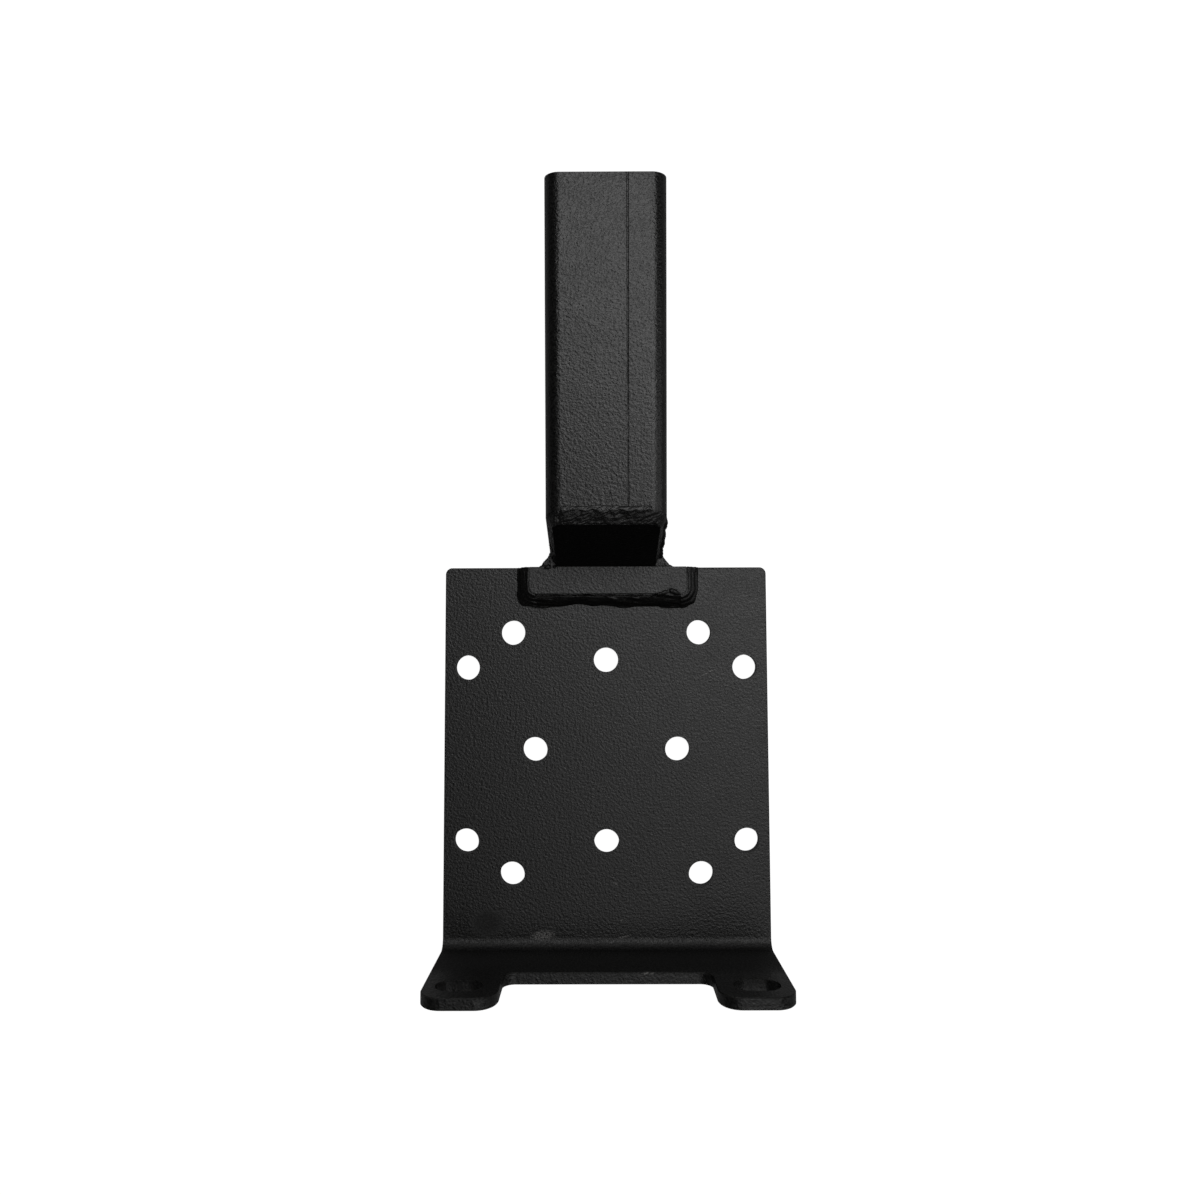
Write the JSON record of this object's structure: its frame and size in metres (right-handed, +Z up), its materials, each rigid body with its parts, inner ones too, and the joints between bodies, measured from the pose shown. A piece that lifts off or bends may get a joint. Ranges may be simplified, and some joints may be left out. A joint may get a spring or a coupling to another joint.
{
  "type": "winch hitch mount",
  "caption": "Black welded steel winch mount: drilled flat plate, turned-up fairlead flange with slotted lugs, and a square hitch shank.",
  "frame": {"origin": "centre of the inner rectangle of winch bolt holes, on the plate's winch face", "axes": "+X across the plate, +Y along the plate towards the shank's open end, +Z up from the winch face"},
  "size_m": [0.15, 0.3413, 0.0646],
  "materials": {
    "sheet_paint": "satin black powder coat, finely textured, on flat sheet",
    "shank_paint": "satin black powder coat on drawn square tube with a faint seam",
    "cap_paint": "satin black powder coat, less exposed",
    "weld_paint": "satin black powder coat over rippled weld beads"
  },
  "bodies": {
    "root": {"winch_plate": "sheet_paint", "shank_tube": "shank_paint", "closing_plate": "cap_paint", "tie_pad": "sheet_paint", "pad_weld": "weld_paint", "cap_weld": "weld_paint", "side_weld_left": "weld_paint", "side_weld_right": "weld_paint", "back_weld": "weld_paint"}
  },
  "joints": []
}
